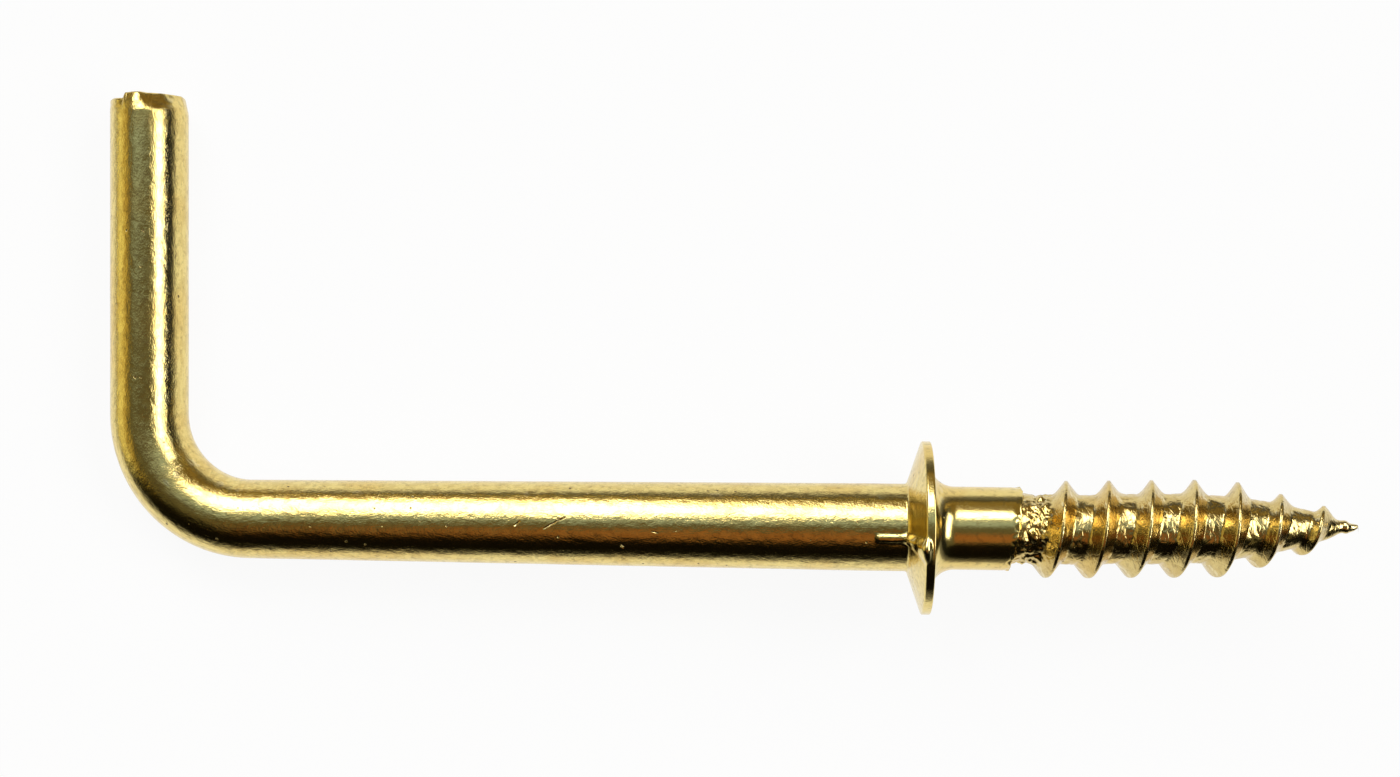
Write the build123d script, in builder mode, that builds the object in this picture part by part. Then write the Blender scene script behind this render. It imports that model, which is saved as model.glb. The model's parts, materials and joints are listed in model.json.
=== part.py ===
"""Shouldered square cup hook: one piece of wire with an upset collar, a wood-screw thread and a bent arm.

The wire is cold headed, so the collar, the shank and the screw are one solid. The hook is built along +X with the
centre of the collar's seat face at the origin, and is then laid down as it rests on a table: on the collar's rim,
on the bend and on the end of the arm. The finished frame has +Z up, +X towards the screw's point, +Y towards the
arm's free end, and its origin at the middle of the bounding box's underside. Millimetres throughout.
"""

import math
import os

from build123d import *

# Wire, bend and arm
WIRE_RADIUS = 1.825
ARM_OFFSET = 36.27  # from the seat face back to the arm's axis
ARM_REACH = 19.95  # from the shank's axis to the arm's cut end
BEND_RADIUS = 4.90  # to the wire's centre line
BEND_ANGLE = 89.5
CUT_BEVEL_LENGTH = 0.60
CUT_BEVEL_DEPTH = 0.28

# Shank between bend and collar: the die leaves it thicker towards the collar
SHANK_COLLAR_RADIUS = 1.99

# Collar, and the neck between its seat face and the thread
COLLAR_RADIUS = 3.93
RIM_THICKNESS = 0.39
CONE_LENGTH = 0.67
CONE_ROOT_FILLET = 0.12
RIM_EDGE_FILLET = 0.07
NECK_RADIUS = 1.88
NECK_FILLET = 1.10
NECK_LENGTH = 3.80

# Screw: a coarse gimlet-pointed thread, wound left-handed
ROOT_RADIUS = 1.58
ROOT_START = 4.25
POINT_START = 10.9  # where the root leaves the cylinder and curves in to the point
POINT_NECK = (18.10, 0.42)  # station and radius where the curve meets the gimlet point
POINT_SHOULDER = (18.95, 0.18)
SCREW_LENGTH = 19.11
TIP_RADIUS = 0.06
THREAD_RADIUS = 2.20
THREAD_PITCH = 1.91
THREAD_START = 4.12  # station of the ridge's first section, on the +Y side
THREAD_END = 18.55
CREST_WIDTH = 0.15
FLANK_ANGLE = 32.0  # half the ridge's included angle
RIDGE_SINK = 0.25  # how far the ridge's base lies inside the root
SECTIONS_PER_TURN = 12


def along(start: tuple, end: tuple, station: float) -> float:
    """Radius at a station on the straight line from start to end, each a (station, radius) pair."""
    share = (station - start[0]) / (end[0] - start[0])
    return start[1] + share * (end[1] - start[1])


def root_radius(station: float) -> float:
    """Radius of the thread's root at a station along the screw."""
    if station <= POINT_START:
        return ROOT_RADIUS
    if station <= POINT_NECK[0]:
        drop = math.sqrt(point_arc_radius**2 - (station - POINT_START) ** 2)
        return ROOT_RADIUS - point_arc_radius + drop
    return along(POINT_NECK, POINT_SHOULDER, station)


def crest_radius(station: float) -> float:
    """Radius of the thread's crest: it rises out of the neck, runs level and then closes in on the point."""
    if station < full_crest[0]:
        return along(hidden_start, full_crest, station)
    if station < last_full_crest[0]:
        return THREAD_RADIUS
    if station < low_crest[0]:
        return along(last_full_crest, low_crest, station)
    return along(low_crest, hidden_end, station)


def ridge_plane(station: float) -> Plane:
    """Radial plane through the screw's axis, with its x along the axis and its y outwards, at a ridge section."""
    turn = -2 * math.pi * (station - THREAD_START) / THREAD_PITCH
    outward = Vector(0, math.cos(turn), math.sin(turn))
    return Plane(origin=(station, 0, 0), x_dir=(1, 0, 0), z_dir=Vector(1, 0, 0).cross(outward))


# The curve of the point leaves the root cylinder tangentially and ends at the gimlet's neck.
point_run = POINT_NECK[0] - POINT_START
point_drop = ROOT_RADIUS - POINT_NECK[1]
point_arc_radius = (point_run**2 + point_drop**2) / (2 * point_drop)
point_turn = math.degrees(math.asin(point_run / point_arc_radius))

# Crest outline, as (station, radius): hidden in the neck, full height, and back down into the point.
hidden_start = (THREAD_START, 1.55)
full_crest = (5.05, THREAD_RADIUS)
last_full_crest = (13.5, THREAD_RADIUS)
low_crest = (17.6, 0.95)
hidden_end = (THREAD_END, 0.28)

# Bend: the wire turns about a centre beside the shank.
bend_start = BEND_RADIUS * math.sin(math.radians(BEND_ANGLE)) - ARM_OFFSET
bend_end = (
    -ARM_OFFSET,
    BEND_RADIUS * (1 - math.cos(math.radians(BEND_ANGLE))),
)
arm_direction = Vector(-math.cos(math.radians(BEND_ANGLE)), math.sin(math.radians(BEND_ANGLE)), 0)
arm_length = (ARM_REACH - bend_end[1]) / arm_direction.Y

# The thread's ridge, lofted turn by turn
with BuildPart() as ridge:
    turn_count = math.ceil((THREAD_END - THREAD_START) / THREAD_PITCH)
    for turn in range(turn_count):
        for step in range(SECTIONS_PER_TURN + 1):
            station = THREAD_START + (turn + step / SECTIONS_PER_TURN) * THREAD_PITCH
            if station > THREAD_END:
                break
            crest = crest_radius(station)
            base = root_radius(station) - RIDGE_SINK
            half_crest = CREST_WIDTH / 2
            half_base = half_crest + (crest - base) * math.tan(math.radians(FLANK_ANGLE))
            with BuildSketch(ridge_plane(station)):
                Polygon(
                    (-half_base, base),
                    (half_base, base),
                    (half_crest, crest),
                    (-half_crest, crest),
                    align=None,
                )
        loft()

with BuildPart() as hook:
    # Turned outline, from the bend's end of the shank to the screw's point, revolved about X
    with BuildSketch(Plane.XY) as outline:
        with BuildLine():
            cone_foot = (-RIM_THICKNESS - CONE_LENGTH, SHANK_COLLAR_RADIUS)
            shank = Polyline(
                (bend_start, 0),
                (bend_start, WIRE_RADIUS),
                cone_foot,
                (-RIM_THICKNESS, COLLAR_RADIUS),
                (0, COLLAR_RADIUS),
                (0, NECK_RADIUS),
                (NECK_LENGTH, NECK_RADIUS),
                (ROOT_START, ROOT_RADIUS),
                (POINT_START, ROOT_RADIUS),
            )
            JernArc(start=shank @ 1, tangent=(1, 0), radius=point_arc_radius, arc_size=-point_turn)
            Line(POINT_NECK, POINT_SHOULDER)
            Polyline(POINT_SHOULDER, (SCREW_LENGTH, TIP_RADIUS), (SCREW_LENGTH, 0), (bend_start, 0))
        make_face()
        corners = outline.vertices()
        rim = [c for c in corners if abs(c.Y - COLLAR_RADIUS) < 1e-6]
        fillet(rim, radius=RIM_EDGE_FILLET)
        fillet(corners.sort_by_distance((0, NECK_RADIUS))[0], radius=NECK_FILLET)
        fillet(corners.sort_by_distance(cone_foot)[0], radius=CONE_ROOT_FILLET)
    revolve(axis=Axis.X)

    # Bend and arm
    with BuildSketch(Plane((bend_start, 0, 0), x_dir=(0, 1, 0), z_dir=(-1, 0, 0))):
        Circle(WIRE_RADIUS)
    revolve(axis=Axis((bend_start, BEND_RADIUS, 0), (0, 0, -1)), revolution_arc=BEND_ANGLE)
    with BuildSketch(Plane((bend_end[0], bend_end[1], 0), x_dir=(0, 0, 1), z_dir=arm_direction)):
        Circle(WIRE_RADIUS)
    extrude(amount=arm_length)
    cut_face = faces().sort_by(Axis.Y)[-1]
    chamfer(cut_face.edges(), length=CUT_BEVEL_DEPTH, length2=CUT_BEVEL_LENGTH, reference=cut_face)

    add(ridge.part)

# Resting tilt: the floor is tangent to the arm and to the rounded edge of the collar's rim, on the hook's side.
rim_ahead = ARM_OFFSET - RIM_THICKNESS + RIM_EDGE_FILLET
rim_below = COLLAR_RADIUS - RIM_EDGE_FILLET
rest_tilt = math.degrees(
    math.atan2(rim_below, rim_ahead)
    - math.asin((WIRE_RADIUS - RIM_EDGE_FILLET) / math.hypot(rim_ahead, rim_below))
)
tilt = Location((0, 0, 0), (0, -rest_tilt, 0))
box = hook.part.moved(tilt).bounding_box()
lift = Location((-(box.min.X + box.max.X) / 2, -(box.min.Y + box.max.Y) / 2, -box.min.Z))

with BuildPart() as cup_hook:
    add(hook.part.moved(lift * tilt))
cup_hook.part.label = "cup_hook"

os.makedirs("parts", exist_ok=True)
export_step(cup_hook.part, "parts/cup_hook.step")
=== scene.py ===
"""Looks of a shouldered square cup hook in brass-plated steel wire.

The hook is shaped as it was made. A straight turned blank (arm, shank, collar and neck) is spun about its
axis, its surface is worn and dented, and it is then bent to the hook's shape. The screw is a second spun
blank whose ridge is raised along a left-hand helix. Blanks are in millimetres, with X along the wire, zero
at the collar's seat face and the screw's point ahead. HookFrame carries them into the CAD model's frame.
"""

import json
import logging
import math
from collections.abc import Callable
from dataclasses import dataclass, field
from enum import Enum

import bmesh
import bpy
from mathutils import Matrix, Vector, noise


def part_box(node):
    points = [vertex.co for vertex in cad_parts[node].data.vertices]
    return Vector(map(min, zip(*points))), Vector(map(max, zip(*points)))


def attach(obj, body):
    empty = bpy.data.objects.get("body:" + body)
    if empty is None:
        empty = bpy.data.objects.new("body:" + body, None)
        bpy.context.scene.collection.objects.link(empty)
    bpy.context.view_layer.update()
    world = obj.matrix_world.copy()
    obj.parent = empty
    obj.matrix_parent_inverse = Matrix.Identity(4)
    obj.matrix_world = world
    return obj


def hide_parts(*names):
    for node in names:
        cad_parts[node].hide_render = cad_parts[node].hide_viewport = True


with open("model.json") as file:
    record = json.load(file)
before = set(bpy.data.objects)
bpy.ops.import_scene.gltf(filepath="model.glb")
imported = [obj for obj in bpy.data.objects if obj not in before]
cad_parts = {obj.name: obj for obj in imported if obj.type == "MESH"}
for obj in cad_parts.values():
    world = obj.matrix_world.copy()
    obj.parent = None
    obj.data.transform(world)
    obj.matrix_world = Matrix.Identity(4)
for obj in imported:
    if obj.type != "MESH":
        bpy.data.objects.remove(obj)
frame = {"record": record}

logging.basicConfig(level=logging.INFO, format="%(name)s: %(message)s")
log = logging.getLogger("cup_hook")

Node = bpy.types.Node
Socket = bpy.types.NodeSocket
Tree = bpy.types.NodeTree
Relief = Callable[[Vector], float]
Rgba = tuple[float, float, float, float]

BLANK_COORDINATES = "blank_mm"
MILLIMETRE = 0.001
MERGE_DISTANCE = 1e-5
NEAR_AXIS = 1e-4
WHITE: Rgba = (1.0, 1.0, 1.0, 1.0)

# Sockets of the Mix node when it mixes colours, which share their names with others.
FIRST_COLOUR, SECOND_COLOUR, MIXED_COLOUR = 6, 7, 2


class Slot(Enum):
    """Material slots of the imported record."""

    PLATE = "brass_plate"


def ramp(low: float, high: float, value: float) -> float:
    """Smooth step from 0 at low to 1 at high, where low may also be the greater."""
    t = min(max((value - low) / (high - low), 0.0), 1.0)
    return t * t * (3 - 2 * t)


def wrapped(angle: float) -> float:
    """The angle brought to between minus and plus half a turn."""
    return (angle + math.pi) % (2 * math.pi) - math.pi


def roughcast(point: Vector, size: float, seed: float) -> float:
    """Smooth noise of about minus one to one, with bumps of the given size."""
    return noise.noise(point / size + Vector((seed, 1.7 * seed, -seed)))


def crumple(point: Vector, size: float, seed: float) -> float:
    """Faceted noise of about minus one to one, as of folded and torn metal."""
    distances = noise.voronoi(point / size + Vector((seed, -seed, 0.6 * seed)))[0]
    return 1.6 * (distances[1] - distances[0]) - 0.6


@dataclass(frozen=True)
class HookFrame:
    """The blank's frame as it lies in the CAD model."""

    to_row: Matrix

    @classmethod
    def from_record(cls, record: dict) -> "HookFrame":
        """Reads the frame from the seat and arm mounts.

        Args:
            record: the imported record.

        Returns:
            The frame, whose matrix also turns millimetres into metres.
        """
        mounts = {mount["name"]: mount for mount in record["mounts"]}
        ahead = Vector(mounts["seat"]["axis"]).normalized()
        arm = Vector(mounts["arm"]["axis"])
        side = (arm - ahead * arm.dot(ahead)).normalized()
        turn = Matrix((ahead, side, ahead.cross(side))).transposed().to_4x4()
        seat = Vector(mounts["seat"]["pos_m"])
        return cls(Matrix.Translation(seat) @ turn @ Matrix.Scale(MILLIMETRE, 4))

    def place(self, point: Vector) -> Vector:
        """A blank point in the CAD model's frame."""
        return self.to_row @ point


@dataclass
class Outline:
    """A half outline in the XY plane, drawn from the wire's axis outwards, that a blank is spun from."""

    mesh: bmesh.types.BMesh = field(default_factory=bmesh.new)
    last: bmesh.types.BMVert | None = None

    def start(self, station: float, radius: float) -> "Outline":
        """Puts down the first point."""
        self.last = self.mesh.verts.new((station, radius, 0.0))
        return self

    def line(self, station: float, radius: float, spacing: float) -> "Outline":
        """Draws a straight stretch.

        Args:
            station: where it ends along the axis.
            radius: its radius there.
            spacing: longest distance between its points.

        Returns:
            The outline, for the next stretch.
        """
        begin = self.last.co.copy()
        end = Vector((station, radius, 0.0))
        steps = max(1, math.ceil((end - begin).length / spacing))
        for step in range(1, steps + 1):
            self._to(begin.lerp(end, step / steps))
        return self

    def arc(
        self, centre: tuple[float, float], radius: float, begin: float, end: float, spacing: float
    ) -> "Outline":
        """Draws an arc.

        Args:
            centre: its centre, as station and radius.
            radius: the arc's own radius.
            begin: the angle that it starts at, in degrees from the station axis.
            end: the angle that it ends at.
            spacing: longest distance between its points.

        Returns:
            The outline, for the next stretch.
        """
        steps = max(3, math.ceil(abs(math.radians(end - begin)) * radius / spacing))
        for step in range(steps + 1):
            angle = math.radians(begin + (end - begin) * step / steps)
            spot = Vector((centre[0] + radius * math.cos(angle), centre[1] + radius * math.sin(angle), 0.0))
            if (spot - self.last.co).length > MERGE_DISTANCE:
                self._to(spot)
        return self

    def _to(self, point: Vector) -> None:
        """Adds an edge to a new point.

        Args:
            point: where the edge ends.
        """
        vert = self.mesh.verts.new(point)
        self.mesh.edges.new((self.last, vert))
        self.last = vert

    def spin(self, segments: int) -> bmesh.types.BMesh:
        """Spins the outline about the X axis into a closed skin with its faces outwards.

        Args:
            segments: number of steps in the full turn.

        Returns:
            The skin.
        """
        mesh = self.mesh
        bmesh.ops.spin(
            mesh,
            geom=mesh.verts[:] + mesh.edges[:],
            cent=(0, 0, 0),
            axis=(1, 0, 0),
            angle=2 * math.pi,
            steps=segments,
            use_merge=True,
        )
        bmesh.ops.remove_doubles(mesh, verts=mesh.verts[:], dist=MERGE_DISTANCE)
        bmesh.ops.recalc_face_normals(mesh, faces=mesh.faces[:])
        return mesh


@dataclass
class Blank:
    """Shared steps that turn a spun blank into a finished piece."""

    name: str
    frame: HookFrame

    def emboss(self, mesh: bmesh.types.BMesh, relief: Relief) -> None:
        """Moves each vertex along its normal by the relief there.

        Args:
            mesh: the spun blank.
            relief: height in millimetres at a point of the blank.
        """
        mesh.normal_update()
        moves = [(vert, vert.normal * relief(vert.co)) for vert in mesh.verts]
        for vert, move in moves:
            vert.co += move

    def finish(
        self, mesh: bmesh.types.BMesh, shape: Callable[[Vector], Vector], material: bpy.types.Material
    ) -> None:
        """Keeps the blank's coordinates for the material, shapes the blank, places it and hands it over.

        Args:
            mesh: the embossed blank.
            shape: carries a blank point to the formed hook.
            material: the finish.
        """
        layer = mesh.verts.layers.float_vector.new(BLANK_COORDINATES)
        for vert in mesh.verts:
            vert[layer] = vert.co
            vert.co = self.frame.place(shape(vert.co))
        for face in mesh.faces:
            face.smooth = True
        bmesh.ops.recalc_face_normals(mesh, faces=mesh.faces[:])
        data = bpy.data.meshes.new(self.name)
        mesh.to_mesh(data)
        mesh.free()
        data.materials.append(material)
        piece = bpy.data.objects.new(self.name, data)
        bpy.context.scene.collection.objects.link(piece)
        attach(piece, "root")
        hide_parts("cup_hook")
        triangles = sum(len(polygon.vertices) - 2 for polygon in data.polygons)
        log.info("%s: %d triangles", self.name, triangles)


@dataclass
class ShoulderedWire(Blank):
    """Arm, bend, shank, collar and neck: the wire up to the torn shoulder where the thread was rolled."""

    # Wire, bend and arm
    wire_radius: float = 1.825
    arm_offset: float = 36.27
    arm_reach: float = 19.95
    bend_radius: float = 4.90
    bend_angle: float = math.radians(89.5)
    arm_radius: float = 1.755

    # Sheared and rolled-over end of the arm
    bevel: float = 0.06
    cut_zone: float = 1.6
    roll_length: float = 1.20
    cut_step: float = 0.26
    cut_crown: float = 0.30
    cut_roughness: float = 0.025

    # Shank, collar and neck
    shank_collar_radius: float = 1.99
    flash_zone: float = -3.0
    collar_radius: float = 3.93
    rim_thickness: float = 0.39
    cone_length: float = 0.67
    edge_radius: float = 0.06
    cone_fillet: float = 0.15
    neck_radius: float = 1.885
    neck_fillet: float = 1.10

    # Torn shoulder, with a hollow in it that the screw's root fills
    tear_zone: float = 2.9
    shoulder: float = 3.80
    shoulder_slant: float = 0.30
    tear_height: float = 0.07
    hollow_radii: tuple[float, float] = (1.50, 1.30)
    hollow_depth: float = 0.4

    # Raised lines that the header's dies leave, and the skin's unevenness
    flash_lean: float = math.radians(-10.5)
    flash_start: float = -2.60
    flash_height: float = 0.075
    far_flash_height: float = 0.04
    lump_ratio: float = 3.2
    wave_height: float = 0.0035
    ripple_height: float = 0.0020

    # Mesh
    segments: int = 128
    crowding: float = 0.55

    @property
    def bend_start(self) -> float:
        """Station where the bend leaves the shank."""
        return self.bend_radius * math.sin(self.bend_angle) - self.arm_offset

    @property
    def bend_run(self) -> float:
        """Length of wire in the bend."""
        return self.bend_radius * self.bend_angle

    @property
    def arm_length(self) -> float:
        """Length of the straight arm."""
        rise = self.bend_radius * (1 - math.cos(self.bend_angle))
        return (self.arm_reach - rise) / math.sin(self.bend_angle)

    @property
    def cut_end(self) -> float:
        """Station of the arm's sheared end on the straight blank."""
        return self.bend_start - self.bend_run - self.arm_length

    def outline(self) -> Outline:
        """Half outline of the straight blank, from the sheared end's middle to the hollow's middle.

        Returns:
            The outline.
        """
        slope = math.atan2(self.collar_radius - self.shank_collar_radius, self.cone_length)
        cone_turn = math.degrees(slope)
        cone_start = -self.rim_thickness - self.cone_length - self.cone_fillet * math.tan(slope / 2)
        cone_centre = (cone_start, self.shank_collar_radius + self.cone_fillet)
        neck_centre = (self.neck_fillet, self.neck_radius + self.neck_fillet)
        hollow_mouth, hollow_floor = self.hollow_radii
        edge = self.edge_radius
        end = self.cut_end
        return (
            Outline()
            .start(end, 0.0)
            .line(end, self.wire_radius - self.bevel, spacing=0.08)
            .line(end + self.bevel, self.wire_radius, spacing=0.03)
            .line(end + self.cut_zone, self.wire_radius, spacing=0.07)
            .line(self.bend_start, self.wire_radius, spacing=0.125)
            .line(self.flash_zone, self.shank_collar_radius, spacing=0.10)
            .line(cone_start, self.shank_collar_radius, spacing=0.045)
            .arc(cone_centre, self.cone_fillet, -90, cone_turn - 90, spacing=0.03)
            .line(-self.rim_thickness - 0.3 * edge, self.collar_radius - 0.8 * edge, spacing=0.06)
            .line(-self.rim_thickness + 0.5 * edge, self.collar_radius, spacing=0.05)
            .line(-edge, self.collar_radius, spacing=0.06)
            .arc((-edge, self.collar_radius - edge), edge, 90, 0, spacing=0.03)
            .line(0.0, self.neck_radius + self.neck_fillet, spacing=0.09)
            .arc(neck_centre, self.neck_fillet, 180, 270, spacing=0.055)
            .line(self.tear_zone, self.neck_radius, spacing=0.065)
            .line(self.shoulder, self.neck_radius, spacing=0.035)
            .line(self.shoulder + 0.10, hollow_mouth, spacing=0.04)
            .line(self.shoulder - self.hollow_depth, hollow_floor, spacing=0.2)
            .line(self.shoulder - self.hollow_depth, 0.0, spacing=0.5)
        )

    def relief(self, spot: Vector) -> float:
        """Height of dents, flash, waviness and torn metal over the turned blank.

        Args:
            spot: a point of the straight blank.

        Returns:
            Height in millimetres, outwards.
        """
        station = spot.x
        lean = math.atan2(spot.y, spot.z)
        rough = 1 - 0.7 * ramp(-0.2, 0.4, station)
        waves = roughcast(Vector((station / 3, spot.y, spot.z)), size=0.9, seed=3.1)
        ripples = roughcast(Vector((station / 2, spot.y, spot.z)), size=0.22, seed=8.4)
        height = self.wave_height * rough * waves
        height += self.ripple_height * rough * ripples
        height += self._flash(station, lean, self.flash_height, self.flash_lean)
        height += self._flash(station, lean, self.far_flash_height, self.flash_lean + math.pi)
        torn = ramp(self.shoulder - 0.35, self.shoulder - 0.05, station)
        height += torn * self.tear_height * crumple(spot, size=0.45, seed=2.0)
        cut = ramp(self.cut_end + 1.3, self.cut_end + 0.1, station)
        height += cut * self.cut_roughness * roughcast(spot, size=0.55, seed=5.2)
        return height

    def _flash(self, station: float, lean: float, height: float, place: float) -> float:
        """The raised line that the header's dies leave, with a lump of metal where it climbs the cone.

        Args:
            station: station of a point of the blank.
            lean: the point's angle about the wire's axis.
            height: the line's height.
            place: the line's angle about the wire's axis.

        Returns:
            Height in millimetres at the point, outwards.
        """
        across = wrapped(lean - place) * self.wire_radius
        foot = -self.rim_thickness - self.cone_length
        begun = ramp(self.flash_start, self.flash_start + 0.25, station)
        run = begun * ramp(foot + 0.05, foot - 0.15, station)
        line = height * run * ramp(0.24, 0.04, abs(across))
        lump = ramp(foot - 0.3, foot + 0.1, station) * ramp(-0.12, -0.4, station)
        ragged = 1 + 0.5 * roughcast(Vector((station, across, 0)), size=0.22, seed=3.3)
        return line + self.lump_ratio * height * ragged * lump * ramp(0.32, 0.06, abs(across))

    def shear(self, spot: Vector) -> Vector:
        """Skews the arm's cut end and the torn shoulder, which the tools left uneven.

        Args:
            spot: a point of the straight blank.

        Returns:
            The point after the cut and the tear.
        """
        spot = self._slimmed(spot)
        at_cut = ramp(self.cut_end + 1.4, self.cut_end, spot.x)
        step = self.cut_step * ramp(0.60, 0.72, -spot.y)
        uneven = 0.04 * roughcast(Vector((0, spot.y, spot.z)), size=0.7, seed=1.3)
        crown = 0.02 * spot.y / self.wire_radius + uneven + self.cut_crown
        at_tear = ramp(self.tear_zone, self.shoulder, spot.x)
        ragged = 0.13 * roughcast(Vector((0, spot.y, spot.z)), size=0.5, seed=9.0)
        tear = self.shoulder_slant * spot.y / self.neck_radius + ragged
        return spot + Vector((at_cut * (step + crown) + at_tear * tear, 0, 0))

    def _slimmed(self, spot: Vector) -> Vector:
        """Draws the wire a little thinner past the bend, and rolls its cut end over, mostly on one side.

        Args:
            spot: a point of the straight blank.

        Returns:
            The point, nearer to the axis.
        """
        past = ramp(self.bend_start, self.bend_start - self.bend_run, spot.x)
        thin = 1 - (1 - self.arm_radius / self.wire_radius) * past
        near = max(self.cut_end + self.roll_length - spot.x, 0.0) / self.roll_length
        if near > 0.0:
            side, top = spot.y / self.wire_radius, spot.z / self.wire_radius
            near_side, far_side = ramp(-0.75, -0.25, side), ramp(-0.10, 0.45, side)
            roll = 0.02 + max(top, 0.0) * (0.18 * near_side + 0.34 * far_side)
            roll += 0.20 * max(side, 0.0) ** 8 + 0.06 * max(-top, 0.0)
            roll *= 1 + 0.25 * roughcast(spot, size=0.5, seed=6.1)
            thin *= 1 - roll * near**1.6 / self.wire_radius
        return Vector((spot.x, spot.y * thin, spot.z * thin))

    def bend(self, spot: Vector) -> Vector:
        """Bends the straight wire to the hook.

        Args:
            spot: a point of the straight blank.

        Returns:
            The point on the bent hook.
        """
        past = self.bend_start - spot.x
        if past <= 0:
            return spot
        angle = min(past / self.bend_radius, self.bend_angle)
        reach = self.bend_radius - spot.y
        x = self.bend_start - reach * math.sin(angle)
        y = self.bend_radius - reach * math.cos(angle)
        rest = max(past - self.bend_run, 0.0)
        return Vector((x - rest * math.cos(angle), y + rest * math.sin(angle), spot.z))

    def build(self, material: bpy.types.Material) -> None:
        """Spins, wears, cuts and bends the wire, with its vertices crowded towards the flash.

        Args:
            material: the finish.
        """
        mesh = self.outline().spin(self.segments)
        for vert in mesh.verts:
            off = math.atan2(vert.co.y, vert.co.z) - self.flash_lean
            vert.co = Matrix.Rotation(self.crowding * math.sin(off), 3, "X") @ vert.co
        self.emboss(mesh, self.relief)
        self.finish(mesh, lambda spot: self.bend(self.shear(spot)), material)


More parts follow.
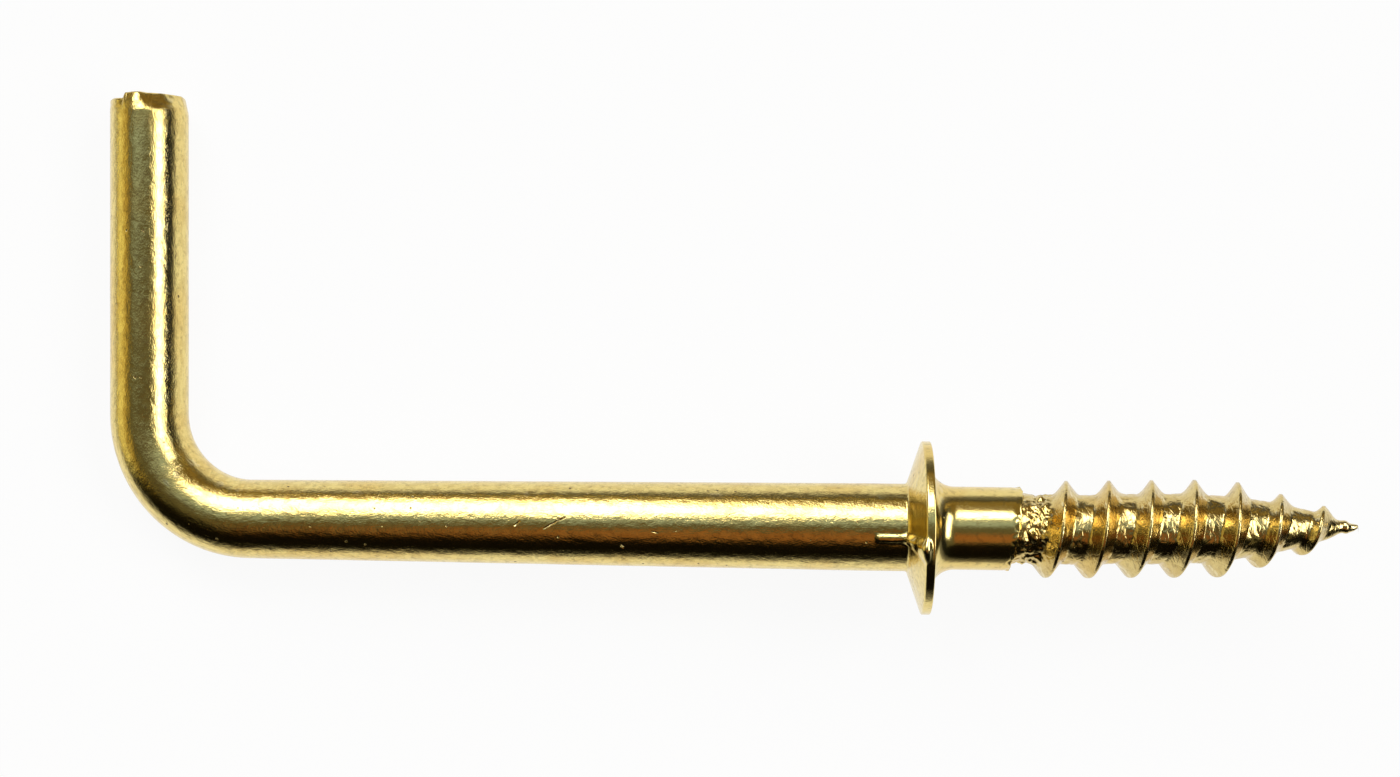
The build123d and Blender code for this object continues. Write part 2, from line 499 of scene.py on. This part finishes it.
@dataclass
class GimletScrew(Blank):
    """Root, ridge and gimlet point of the screw."""

    # Root and point, which starts inside the neck
    hidden_start: float = 2.9
    hidden_end: float = 3.3
    root_radius: float = 1.58
    point_start: float = 10.9
    point_neck: tuple[float, float] = (18.10, 0.42)
    point_shoulder: tuple[float, float] = (18.90, 0.20)
    tip_radius: float = 0.09
    length: float = 19.11

    # Slight lean of the screw, and the waist and the bead behind its tip
    lean_start: float = 6.5
    tip_lean: float = 0.28
    waist_share: float = 0.20
    bead_station: float = 18.55
    bead_width: float = 0.13
    bead_height: float = 0.06

    # Ridge
    pitch: float = 1.91
    thread_radius: float = 2.20
    first_crest: float = 6.12
    ridge_start: float = 4.10
    full_start: float = 5.0
    full_end: float = 13.3
    low_crest: tuple[float, float] = (17.55, 0.98)
    ridge_end: float = 18.30
    last_crest_radius: float = 0.30
    crest_half_width: float = 0.055
    base_half_width: float = 0.60
    hollow_share: float = 0.72

    # Hammered root and torn run-out
    swell_height: float = 0.045
    facet_height: float = 0.030
    tear_height: float = 0.110
    wave_height: float = 0.010

    # Mesh
    segments: int = 144
    spacing: float = 0.026

    @property
    def point_arc(self) -> float:
        """Radius of the curve that closes the root in on the point."""
        run = self.point_neck[0] - self.point_start
        drop = self.root_radius - self.point_neck[1]
        return (run**2 + drop**2) / (2 * drop)

    def outline(self) -> Outline:
        """Half outline of the root, from its hidden end in the neck to the point.

        Returns:
            The outline.
        """
        centre = (self.point_start, self.root_radius - self.point_arc)
        sweep = math.degrees(math.asin((self.point_neck[0] - self.point_start) / self.point_arc))
        return (
            Outline()
            .start(self.hidden_start, 0.0)
            .line(self.hidden_start, self.root_radius, spacing=0.5)
            .line(self.hidden_end, self.root_radius, spacing=0.1)
            .line(self.point_start, self.root_radius, self.spacing)
            .arc(centre, self.point_arc, 90, 90 - sweep, self.spacing)
            .line(*self.point_shoulder, self.spacing)
            .line(self.length - 0.05, self.tip_radius, self.spacing)
            .line(self.length, 0.0, spacing=0.05)
        )

    def crest(self, station: float) -> float:
        """Radius of the ridge's crest, which rises out of the root, runs level and closes in on the point.

        Args:
            station: a station along the screw.

        Returns:
            The radius there.
        """
        if station < self.full_start:
            risen = ramp(self.ridge_start, self.full_start, station)
            return self.root_radius + (self.thread_radius - self.root_radius) * risen
        if station < self.full_end:
            return self.thread_radius
        if station < self.low_crest[0]:
            share = (station - self.full_end) / (self.low_crest[0] - self.full_end)
            return self.thread_radius + share * (self.low_crest[1] - self.thread_radius)
        share = (station - self.low_crest[0]) / (self.ridge_end - self.low_crest[0])
        return self.low_crest[1] + share * (self.last_crest_radius - self.low_crest[1])

    def ridge(self, spot: Vector) -> tuple[float, float]:
        """The helical ridge over the root.

        Args:
            spot: a point of the spun root.

        Returns:
            The ridge's height there, and the distance along the axis to the nearest crest.
        """
        turned = math.atan2(spot.z, spot.y) / (2 * math.pi)
        beyond = spot.x - self.first_crest + self.pitch * turned
        off_crest = (beyond + self.pitch / 2) % self.pitch - self.pitch / 2
        crest_station = spot.x - off_crest
        if not self.ridge_start < crest_station < self.ridge_end:
            return 0.0, off_crest
        root = math.hypot(spot.y, spot.z)
        full = max(self.crest(crest_station) - root, 0.0)
        grown = min(full / (self.thread_radius - self.root_radius), 1.0)
        spread = self.base_half_width * (0.45 + 0.55 * grown)
        flank = min(max((abs(off_crest) - self.crest_half_width) / spread, 0.0), 1.0)
        hollow = (1 - flank) ** 1.7
        rounded = 0.5 + 0.5 * math.cos(math.pi * flank)
        return full * (self.hollow_share * hollow + (1 - self.hollow_share) * rounded), off_crest

    def shape_root(self, spot: Vector) -> Vector:
        """Raises the ridge and the hammered root, radially.

        Args:
            spot: a point of the spun root.

        Returns:
            The point on the finished screw.
        """
        radius = math.hypot(spot.y, spot.z)
        if radius < NEAR_AXIS:
            return spot
        height, off_crest = self.ridge(spot)
        in_root = ramp(0.28, 0.62, abs(off_crest)) * ramp(self.hidden_start, 3.6, spot.x)
        torn = ramp(5.6, 4.9, spot.x)
        slim = min(radius / self.root_radius, 1.0)
        around = Vector((spot.x, spot.y * 0.75, spot.z * 0.75))
        height += self.swell_height * in_root * slim * roughcast(around, size=0.62, seed=4.0)
        height += self.facet_height * in_root * slim * crumple(around, size=0.44, seed=6.5)
        creased = crumple(spot, size=0.55, seed=1.1) + 0.5 * crumple(spot, size=0.30, seed=7.3)
        height += self.tear_height * torn * (0.3 + 0.7 * in_root) * creased
        height += self.wave_height * slim * roughcast(spot, size=0.8, seed=2.2)
        waist = ramp(17.7, 18.35, spot.x) * ramp(self.length, self.point_shoulder[0], spot.x)
        height -= self.waist_share * radius * waist
        height += self.bead_height * math.exp(-(((spot.x - self.bead_station) / self.bead_width) ** 2))
        grown = (radius + height) / radius
        lean = self.tip_lean * max(spot.x - self.lean_start, 0.0) / (self.length - self.lean_start)
        wobble = 0.03 * math.sin((spot.x - self.point_neck[0]) * 7.0) * ramp(17.8, 18.6, spot.x)
        return Vector((spot.x, spot.y * grown + lean + wobble, spot.z * grown))

    def build(self, material: bpy.types.Material) -> None:
        """Spins the root and raises the thread.

        Args:
            material: the finish.
        """
        mesh = self.outline().spin(self.segments)
        for vert in mesh.verts:
            vert.co = self.shape_root(vert.co)
        self.finish(mesh, lambda spot: spot, material)


class NodeBench:
    """A small helper that puts nodes into a tree and joins them."""

    def __init__(self, tree: Tree) -> None:
        """Keeps the tree."""
        self.tree = tree

    def node(self, kind: str, inputs: dict[str | int, object] | None = None, **settings: object) -> Node:
        """Adds a node.

        Args:
            kind: the node's type.
            inputs: values or sockets for its inputs, by name or index.
            settings: attributes of the node.

        Returns:
            The node.
        """
        made = self.tree.nodes.new(kind)
        for key, value in settings.items():
            setattr(made, key, value)
        for key, value in (inputs or {}).items():
            if isinstance(value, bpy.types.NodeSocket):
                self.tree.links.new(value, made.inputs[key])
            else:
                made.inputs[key].default_value = value
        return made

    def math(self, operation: str, *values: object, clamp: bool = False) -> Socket:
        """A math node's result."""
        made = self.node("ShaderNodeMath", dict(enumerate(values)), operation=operation, use_clamp=clamp)
        return made.outputs[0]

    def spread(
        self, value: Socket, low: float, high: float, to_low: float = 0.0, to_high: float = 1.0
    ) -> Socket:
        """The value carried smoothly from one range to another, and held at its ends.

        Args:
            value: the value.
            low: where its range starts.
            high: where its range ends.
            to_low: the result at the start.
            to_high: the result at the end.

        Returns:
            The result.
        """
        inputs = {"Value": value, "From Min": low, "From Max": high, "To Min": to_low, "To Max": to_high}
        made = self.node("ShaderNodeMapRange", inputs, interpolation_type="SMOOTHSTEP")
        return made.outputs["Result"]

    def vector(self, operation: str, *values: object) -> Node:
        """A vector math node."""
        return self.node("ShaderNodeVectorMath", dict(enumerate(values)), operation=operation)

    def noise(self, vector: Socket, scale: Socket, detail: float) -> Socket:
        """Noise of about 0 to 1."""
        inputs = {"Vector": vector, "Scale": scale, "Detail": detail}
        return self.node("ShaderNodeTexNoise", inputs).outputs["Fac"]

    def blend(self, factor: object, low: object, high: object) -> Socket:
        """Two colours, given as sockets or as values, mixed."""
        inputs = {"Factor": factor, FIRST_COLOUR: low, SECOND_COLOUR: high}
        return self.node("ShaderNodeMix", inputs, data_type="RGBA").outputs[MIXED_COLOUR]


class EffectGroups:
    """Surface effects shared by the wire's and the screw's finish."""

    def __init__(self) -> None:
        """Builds each group once."""
        self.drawn_grain = self._drawn_grain()
        self.pits = self._pits()
        self.tarnish = self._tarnish()
        self.nick = self._nick()

    @staticmethod
    def _start(
        name: str, inputs: dict[str, tuple[str, object]], outputs: list[str]
    ) -> tuple[NodeBench, Node, Node]:
        """Starts a group with named sockets.

        Args:
            name: the group's name.
            inputs: each input's type and its value, or None where the input is always linked.
            outputs: names of the outputs, which are all floats.

        Returns:
            A bench for the group's nodes, its input node and its output node.
        """
        tree = bpy.data.node_groups.new(name, "ShaderNodeTree")
        for label, (kind, value) in inputs.items():
            socket = tree.interface.new_socket(name=label, in_out="INPUT", socket_type=kind)
            if value is not None:
                socket.default_value = value
        for label in outputs:
            tree.interface.new_socket(name=label, in_out="OUTPUT", socket_type="NodeSocketFloat")
        bench = NodeBench(tree)
        return bench, bench.node("NodeGroupInput"), bench.node("NodeGroupOutput")

    def _drawn_grain(self) -> Tree:
        """Fine grain of drawn and plated wire: orange-peel stretched along the wire, in two sizes.

        Returns:
            The group.
        """
        bench, given, out = self._start(
            "drawn_grain",
            {
                "Vector": ("NodeSocketVector", None),
                "Stretch": ("NodeSocketFloat", 3.0),
                "Size": ("NodeSocketFloat", 0.1),
            },
            ["Height"],
        )
        along = bench.math("DIVIDE", 1.0, given.outputs["Stretch"])
        squeeze = bench.node("ShaderNodeCombineXYZ", {"X": along, "Y": 1.0, "Z": 1.0}).outputs[0]
        vector = bench.vector("MULTIPLY", given.outputs["Vector"], squeeze).outputs[0]
        scale = bench.math("DIVIDE", 1.0, given.outputs["Size"])
        fine = bench.noise(vector, scale, detail=3.0)
        coarse = bench.noise(vector, bench.math("MULTIPLY", scale, 0.22), detail=1.0)
        both = bench.math("MULTIPLY_ADD", coarse, 1.6, fine)
        bench.tree.links.new(both, out.inputs["Height"])
        return bench.tree

    def _pits(self) -> Tree:
        """Scattered small pits where the plate didn't take.

        Returns:
            The group.
        """
        bench, given, out = self._start(
            "plate_pits",
            {
                "Vector": ("NodeSocketVector", None),
                "Spacing": ("NodeSocketFloat", 0.5),
                "Share": ("NodeSocketFloat", 0.4),
            },
            ["Mask"],
        )
        scale = bench.math("DIVIDE", 1.0, given.outputs["Spacing"])
        cells = bench.node("ShaderNodeTexVoronoi", {"Vector": given.outputs["Vector"], "Scale": scale})
        size = bench.node("ShaderNodeSeparateColor", {"Color": cells.outputs["Color"]})
        chosen = bench.math("LESS_THAN", size.outputs["Red"], given.outputs["Share"])
        reach = bench.math("MULTIPLY_ADD", size.outputs["Green"], 0.13, 0.05)
        inside = bench.math("SUBTRACT", reach, cells.outputs["Distance"])
        soft = bench.spread(inside, 0.0, 0.05)
        bench.tree.links.new(bench.math("MULTIPLY", soft, chosen), out.inputs["Mask"])
        return bench.tree

    def _tarnish(self) -> Tree:
        """Clouds of thinner and duller plate.

        Returns:
            The group.
        """
        bench, given, out = self._start(
            "tarnish_clouds",
            {"Vector": ("NodeSocketVector", None), "Size": ("NodeSocketFloat", 2.0)},
            ["Clouds", "Specks"],
        )
        scale = bench.math("DIVIDE", 1.0, given.outputs["Size"])
        broad = bench.noise(given.outputs["Vector"], scale, detail=4.0)
        fine = bench.noise(given.outputs["Vector"], bench.math("MULTIPLY", scale, 9.0), detail=2.0)
        bench.tree.links.new(bench.spread(broad, 0.38, 0.66), out.inputs["Clouds"])
        bench.tree.links.new(bench.spread(fine, 0.52, 0.72), out.inputs["Specks"])
        return bench.tree

    def _nick(self) -> Tree:
        """One short scratch, as a line with soft sides that fades at both ends.

        Returns:
            The group.
        """
        bench, given, out = self._start(
            "nick",
            {
                "Vector": ("NodeSocketVector", None),
                "Middle": ("NodeSocketVector", (0, 0, 0)),
                "Direction": ("NodeSocketVector", (1, 0, 0)),
                "Half Length": ("NodeSocketFloat", 0.4),
                "Half Width": ("NodeSocketFloat", 0.03),
            },
            ["Mask"],
        )
        off = bench.vector("SUBTRACT", given.outputs["Vector"], given.outputs["Middle"]).outputs[0]
        run = bench.vector("DOT_PRODUCT", off, given.outputs["Direction"]).outputs["Value"]
        distance = bench.vector("LENGTH", off).outputs["Value"]
        squared = bench.math("SUBTRACT", bench.math("POWER", distance, 2.0), bench.math("POWER", run, 2.0))
        across = bench.math("SQRT", bench.math("MAXIMUM", squared, 0.0))
        aside = bench.math("DIVIDE", across, given.outputs["Half Width"])
        side = bench.math("SUBTRACT", 1.0, aside, clamp=True)
        reach = bench.math("DIVIDE", bench.math("ABSOLUTE", run), given.outputs["Half Length"])
        end = bench.math("SUBTRACT", 1.0, reach, clamp=True)
        mask = bench.math("MULTIPLY", side, bench.math("POWER", end, 0.5))
        bench.tree.links.new(mask, out.inputs["Mask"])
        return bench.tree


@dataclass(frozen=True)
class Nick:
    """A scratch on the wire: where it is, which way it runs, and its size in millimetres."""

    station: float
    side: float
    slant: float
    length: float
    width: float


@dataclass(frozen=True)
class BrassPlate:
    """Thin bright brass plate: warm clouds, pits, drawn grain, painted shade in hollows, worn edges and
    scratches.
    """

    name: str
    metal: Rgba = (0.84, 0.67, 0.245, 1.0)
    warm: Rgba = (0.74, 0.47, 0.11, 1.0)
    pale: Rgba = (0.86, 0.74, 0.42, 1.0)
    # Dark colour for the pits and specks, and for the painted shade that darkens the hollows.
    grime_and_shade: Rgba = (0.085, 0.05, 0.018, 1.0)
    dull: Rgba = (0.50, 0.34, 0.10, 1.0)
    roughness: float = 0.15
    cloud_size: float = 2.4
    cloud_warmth: float = 0.38
    mottle: float = 0.30
    wear: float = 0.35
    # Painted shade: how strongly the hollows are darkened in colour.
    hollow_shade: float = 0.45
    speck_grime: float = 0.22

    # Grain, which is weaker past the stations that it fades over
    smooth_from: tuple[float, float] = (-1.2, 0.2)
    smooth_grain: float = 0.35
    grain_size: float = 0.062
    grain_stretch: float = 1.6
    grain_depth: float = 0.0095

    # Pits, cracks and scratches
    pit_spacing: float = 0.42
    pit_share: float = 0.16
    pit_grime: float = 0.75
    pit_roughness: float = 0.30
    pit_depth: float = 0.012
    crack_depth: float = 0.0
    nicks: tuple[Nick, ...] = ()
    # How much paler the scratches are: partly the bared plate, partly a painted glint along them.
    nick_paleness_and_glint: float = 0.7
    nick_depth: float = 0.045
    surface_radius: float = 1.9

    def material(self, groups: EffectGroups) -> bpy.types.Material:
        """Builds the material.

        Args:
            groups: the shared effects.

        Returns:
            The material.
        """
        made = bpy.data.materials.new(self.name)
        made.use_nodes = True
        made.node_tree.nodes.clear()
        bench = NodeBench(made.node_tree)
        blank = bench.node("ShaderNodeAttribute", attribute_name=BLANK_COORDINATES).outputs["Vector"]
        tarnish = self._placed(bench, groups.tarnish, blank, {"Size": self.cloud_size})
        clouds, specks = tarnish.outputs["Clouds"], tarnish.outputs["Specks"]
        grain_values = {"Stretch": self.grain_stretch, "Size": self.grain_size}
        grain = self._placed(bench, groups.drawn_grain, blank, grain_values).outputs["Height"]
        station = bench.node("ShaderNodeSeparateXYZ", {0: blank}).outputs["X"]
        drawn = bench.spread(station, *self.smooth_from, 1.0, self.smooth_grain)
        pit_values = {"Spacing": self.pit_spacing, "Share": self.pit_share}
        pits = self._placed(bench, groups.pits, blank, pit_values).outputs["Mask"]
        bend = bench.node("ShaderNodeNewGeometry").outputs["Pointiness"]

        layers = [
            (bench.math("MULTIPLY", bench.spread(grain, 1.15, 1.45), drawn), self.mottle, self.dull),
            (bench.spread(bend, 0.515, 0.60), self.wear, self.pale),
            # Painted shade: the hollows, where Pointiness is low, are darkened in colour.
            (bench.spread(bend, 0.49, 0.42), self.hollow_shade, self.grime_and_shade),
            (specks, self.speck_grime, self.grime_and_shade),
            (pits, self.pit_grime, self.grime_and_shade),
        ]
        relief = bench.math("MULTIPLY", bench.math("MULTIPLY", grain, drawn), self.grain_depth)
        relief = bench.math("MULTIPLY_ADD", pits, -self.pit_depth, relief)
        if self.nicks:
            scratched = self._nick_mask(bench, groups, blank)
            # Scratches are made paler: partly the bared plate, partly a painted glint along them.
            layers.append((scratched, self.nick_paleness_and_glint, self.pale))
            relief = bench.math("MULTIPLY_ADD", scratched, -self.nick_depth, relief)
        if self.crack_depth:
            relief = bench.math("ADD", relief, self._cracks(bench, blank))

        clouded = bench.blend(clouds, self.metal, self.warm)
        colour = bench.blend(bench.math("MULTIPLY", clouds, self.cloud_warmth), self.metal, clouded)
        for mask, strength, layer in layers:
            colour = bench.blend(bench.math("MULTIPLY", mask, strength), colour, layer)

        rough = bench.math("MULTIPLY_ADD", specks, 0.05, self.roughness)
        rough = bench.math("MULTIPLY_ADD", clouds, 0.03, rough)
        rough = bench.math("MULTIPLY_ADD", pits, self.pit_roughness, rough, clamp=True)

        bump = bench.node("ShaderNodeBump", {"Height": relief, "Strength": 1.0, "Distance": MILLIMETRE})
        shader = bench.node(
            "ShaderNodeBsdfPrincipled",
            {"Base Color": colour, "Roughness": rough, "Metallic": 1.0, "Normal": bump.outputs["Normal"]},
        )
        bench.node("ShaderNodeOutputMaterial", {"Surface": shader.outputs["BSDF"]})
        return made

    @staticmethod
    def _placed(bench: NodeBench, tree: Tree, vector: Socket, values: dict[str, object]) -> Node:
        """Places a shared effect and fills its inputs.

        Args:
            bench: the material's bench.
            tree: the effect's group.
            vector: the blank's coordinates.
            values: values of the group's other inputs.

        Returns:
            The group's node.
        """
        group = bench.tree.nodes.new("ShaderNodeGroup")
        group.node_tree = tree
        bench.tree.links.new(vector, group.inputs["Vector"])
        for label, value in values.items():
            group.inputs[label].default_value = value
        return group

    def _nick_mask(self, bench: NodeBench, groups: EffectGroups, vector: Socket) -> Socket:
        """All scratches together, of which there is at least one.

        Args:
            bench: the material's bench.
            groups: the shared effects.
            vector: the blank's coordinates.

        Returns:
            The mask.
        """
        total = None
        for nick in self.nicks:
            height = math.sqrt(max(self.surface_radius**2 - nick.side**2, 0.0))
            slant = math.radians(nick.slant)
            values = {
                "Middle": (nick.station, nick.side, height),
                "Direction": (math.cos(slant), math.sin(slant), 0.0),
                "Half Length": nick.length / 2,
                "Half Width": nick.width / 2,
            }
            mask = self._placed(bench, groups.nick, vector, values).outputs["Mask"]
            total = mask if total is None else bench.math("MAXIMUM", total, mask)
        return total

    def _cracks(self, bench: NodeBench, vector: Socket) -> Socket:
        """Fine creases of rolled and torn metal, at right angles to the wire's length.

        Args:
            bench: the material's bench.
            vector: the blank's coordinates.

        Returns:
            Their height in millimetres.
        """
        squeezed = bench.vector("MULTIPLY", vector, (1.0, 0.45, 0.45)).outputs[0]
        inputs = {"Vector": squeezed, "Scale": 5.0, "Randomness": 1.0}
        cells = bench.node("ShaderNodeTexVoronoi", inputs, feature="DISTANCE_TO_EDGE")
        crease = bench.spread(cells.outputs["Distance"], 0.0, 0.14)
        return bench.math("MULTIPLY", crease, self.crack_depth)


@dataclass(frozen=True)
class SoftCard:
    """A soft-edged patch of light or shade round the hook, far enough off to be a direction only.

    Its azimuth, elevation, half size across and up, and edge are in degrees.
    """

    azimuth: float
    elevation: float
    half_size: tuple[float, float]
    colour: tuple[float, float, float]
    strength: float
    edge: float


@dataclass
class Studio:
    """Floor, surroundings and camera, in metres."""

    hook_box: tuple[Vector, Vector]
    cards: tuple[SoftCard, ...]
    ceiling: tuple[float, float, float] = (0.110, 0.101, 0.058)

    # Floor: its paper, the share of it that shows white, and how it dims in the metal with distance
    floor_size: float = 3.0
    paper: Rgba = (0.82, 0.82, 0.82, 1.0)
    white_share: float = 0.93
    dims_over: tuple[float, float] = (0.014, 0.030)
    dimming: float = 0.90

    # Camera
    lens: float = 43.83
    camera_height: float = 0.0815
    camera_offset: tuple[float, float] = (-0.00096, -0.00177)
    camera_turn: float = math.radians(0.48)

    def floor(self) -> None:
        """A pale floor at the height that the hook rests on."""
        mesh = bmesh.new()
        bmesh.ops.create_grid(mesh, x_segments=1, y_segments=1, size=self.floor_size)
        data = bpy.data.meshes.new("floor")
        mesh.to_mesh(data)
        mesh.free()
        data.materials.append(self._floor_material())
        floor = bpy.data.objects.new("floor", data)
        bpy.context.scene.collection.objects.link(floor)

    def _floor_material(self) -> bpy.types.Material:
        """Matt paper that keeps the hook's shadow, and shows white to the camera and in the metal near it.

        Returns:
            The material.
        """
        made = bpy.data.materials.new("pale_floor")
        made.use_nodes = True
        made.node_tree.nodes.clear()
        bench = NodeBench(made.node_tree)
        path = bench.node("ShaderNodeLightPath")
        seen = bench.math("MAXIMUM", path.outputs["Is Camera Ray"], path.outputs["Is Glossy Ray"])
        seen = bench.math("MAXIMUM", seen, path.outputs["Is Transmission Ray"])
        paper = bench.node("ShaderNodeBsdfDiffuse", {"Color": self.paper})
        far = bench.math("MULTIPLY", bench.spread(path.outputs["Ray Length"], *self.dims_over), self.dimming)
        dimmed = bench.math("MULTIPLY", far, path.outputs["Is Glossy Ray"])
        strength = bench.math("SUBTRACT", 1.0, dimmed)
        white = bench.node("ShaderNodeEmission", {"Color": WHITE, "Strength": strength})
        share = bench.math("MULTIPLY", seen, self.white_share)
        mix = bench.node("ShaderNodeMixShader", {0: share, 1: paper.outputs[0], 2: white.outputs[0]})
        bench.node("ShaderNodeOutputMaterial", {"Surface": mix.outputs[0]})
        return made

    def surroundings(self) -> None:
        """A dim room with soft cards in it, each over those before it. The camera itself sees plain white."""
        world = bpy.data.worlds.new("studio")
        bpy.context.scene.world = world
        world.use_nodes = True
        world.node_tree.nodes.clear()
        bench = NodeBench(world.node_tree)
        direction = bench.node("ShaderNodeTexCoord").outputs["Generated"]
        room: Socket | Rgba = (*self.ceiling, 1.0)
        for card in self.cards:
            mask = self._card_mask(bench, direction, card)
            lit = tuple(channel * card.strength for channel in card.colour)
            room = bench.blend(mask, room, (*lit, 1.0))
        path = bench.node("ShaderNodeLightPath")
        shown = bench.blend(path.outputs["Is Camera Ray"], room, WHITE)
        background = bench.node("ShaderNodeBackground", {"Color": shown, "Strength": 1.0})
        bench.node("ShaderNodeOutputWorld", {"Surface": background.outputs[0]})

    @staticmethod
    def _card_mask(bench: NodeBench, direction: Socket, card: SoftCard) -> Socket:
        """How much of a card lies in a direction.

        Args:
            bench: the world's bench.
            direction: the direction looked in.
            card: the card.

        Returns:
            The mask, from 0 outside the card to 1 inside it.
        """
        azimuth, elevation = math.radians(card.azimuth), math.radians(card.elevation)
        level = math.cos(elevation)
        facing = Vector((level * math.cos(azimuth), level * math.sin(azimuth), math.sin(elevation)))
        right = Vector((-math.sin(azimuth), math.cos(azimuth), 0.0))

        def dot(axis: Vector) -> Socket:
            """Direction's share along an axis."""
            return bench.vector("DOT_PRODUCT", direction, tuple(axis)).outputs["Value"]

        def within(axis: Vector, half: float) -> Socket:
            """Whether the direction is inside the card across one axis, with soft edges.

            Args:
                axis: the axis.
                half: half the card's size along it, in degrees.

            Returns:
                1 inside and 0 outside.
            """
            angle = bench.math("ABSOLUTE", bench.math("ARCTAN2", dot(axis), dot(facing)))
            low, high = math.radians(half - card.edge / 2), math.radians(half + card.edge / 2)
            return bench.spread(angle, low, high, 1.0, 0.0)

        across, upwards = card.half_size
        return bench.math("MULTIPLY", within(right, across), within(facing.cross(right), upwards))

    def camera(self) -> None:
        """A camera straight above the hook and close to it, level with the middle of its length."""
        low, high = self.hook_box
        aside, along = self.camera_offset
        data = bpy.data.cameras.new("camera")
        data.sensor_width = 36.0
        data.lens = self.lens
        data.clip_start = 0.001
        data.dof.use_dof = False
        camera = bpy.data.objects.new("camera", data)
        camera.location = (
            (low[0] + high[0]) / 2 + aside,
            (low[1] + high[1]) / 2 + along,
            low[2] + self.camera_height,
        )
        camera.rotation_euler = (0.0, 0.0, self.camera_turn)
        bpy.context.scene.collection.objects.link(camera)
        bpy.context.scene.camera = camera


# The room that the metal mirrors: dark walls, a brown glow, gold and pale strips low down, a cool haze, and
# the two windows that give the shank's and the arm's long highlights.
STUDIO_CARDS = (
    SoftCard(azimuth=-110, elevation=26, half_size=(85, 29), colour=(1.0, 0.8, 0.4), strength=0.004, edge=12),
    SoftCard(azimuth=0, elevation=8, half_size=(55, 22), colour=(0.9, 1.0, 0.7), strength=0.008, edge=8),
    SoftCard(azimuth=-90, elevation=67, half_size=(18, 11), colour=(1.0, 0.42, 0.14), strength=0.32, edge=14),
    SoftCard(azimuth=174, elevation=32, half_size=(20, 8), colour=(1.0, 0.74, 0.20), strength=0.56, edge=12),
    SoftCard(azimuth=174, elevation=9, half_size=(22, 16), colour=(1.0, 0.90, 0.44), strength=0.95, edge=10),
    SoftCard(azimuth=90, elevation=4, half_size=(75, 8), colour=(1.0, 0.9, 0.6), strength=0.06, edge=6),
    SoftCard(azimuth=94, elevation=15, half_size=(60, 5), colour=(1.0, 0.76, 0.30), strength=0.66, edge=8),
    SoftCard(azimuth=100, elevation=72, half_size=(30, 9), colour=(0.72, 0.92, 1.1), strength=0.52, edge=10),
    SoftCard(azimuth=104, elevation=42, half_size=(18, 18), colour=(1.0, 1.0, 1.0), strength=5.4, edge=5),
    SoftCard(azimuth=74, elevation=25, half_size=(17, 15), colour=(1.0, 0.68, 0.18), strength=0.20, edge=10),
    SoftCard(azimuth=12, elevation=44, half_size=(26, 11), colour=(1.0, 1.0, 1.0), strength=5.0, edge=6),
)

NICKS = (
    Nick(station=-18.60, side=0.10, slant=40, length=0.40, width=0.13),
    Nick(station=-16.95, side=0.14, slant=30, length=1.10, width=0.11),
    Nick(station=-16.75, side=0.24, slant=30, length=0.90, width=0.08),
    Nick(station=-13.90, side=-0.85, slant=-50, length=0.35, width=0.12),
    Nick(station=-12.40, side=-0.20, slant=-12, length=0.40, width=0.10),
    Nick(station=-11.40, side=-0.14, slant=8, length=0.45, width=0.09),
    Nick(station=-9.60, side=-1.00, slant=10, length=0.25, width=0.10),
    Nick(station=-5.10, side=-0.34, slant=75, length=0.35, width=0.13),
)


def main() -> None:
    """Builds the studio, the wire and the screw, in that order."""
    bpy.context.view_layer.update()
    hook_frame = HookFrame.from_record(frame["record"])
    wire = ShoulderedWire("shouldered_wire", hook_frame)
    screw = GimletScrew("gimlet_screw", hook_frame)
    studio = Studio(hook_box=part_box("cup_hook"), cards=STUDIO_CARDS)
    studio.camera()
    studio.floor()
    studio.surroundings()
    groups = EffectGroups()
    bright = BrassPlate("brass_plate_drawn", nicks=NICKS)
    rolled = BrassPlate(
        "brass_plate_rolled",
        metal=(0.70, 0.545, 0.215, 1.0),
        smooth_from=(30.0, 31.0),
        mottle=0.35,
        roughness=0.17,
        grain_size=0.09,
        grain_stretch=1.0,
        grain_depth=0.007,
        pit_share=0.10,
        crack_depth=0.004,
        wear=0.6,
    )
    wire.build(bright.material(groups))
    screw.build(rolled.material(groups))
    bpy.context.scene.view_settings.view_transform = "Standard"


if __name__ == "__main__":
    main()
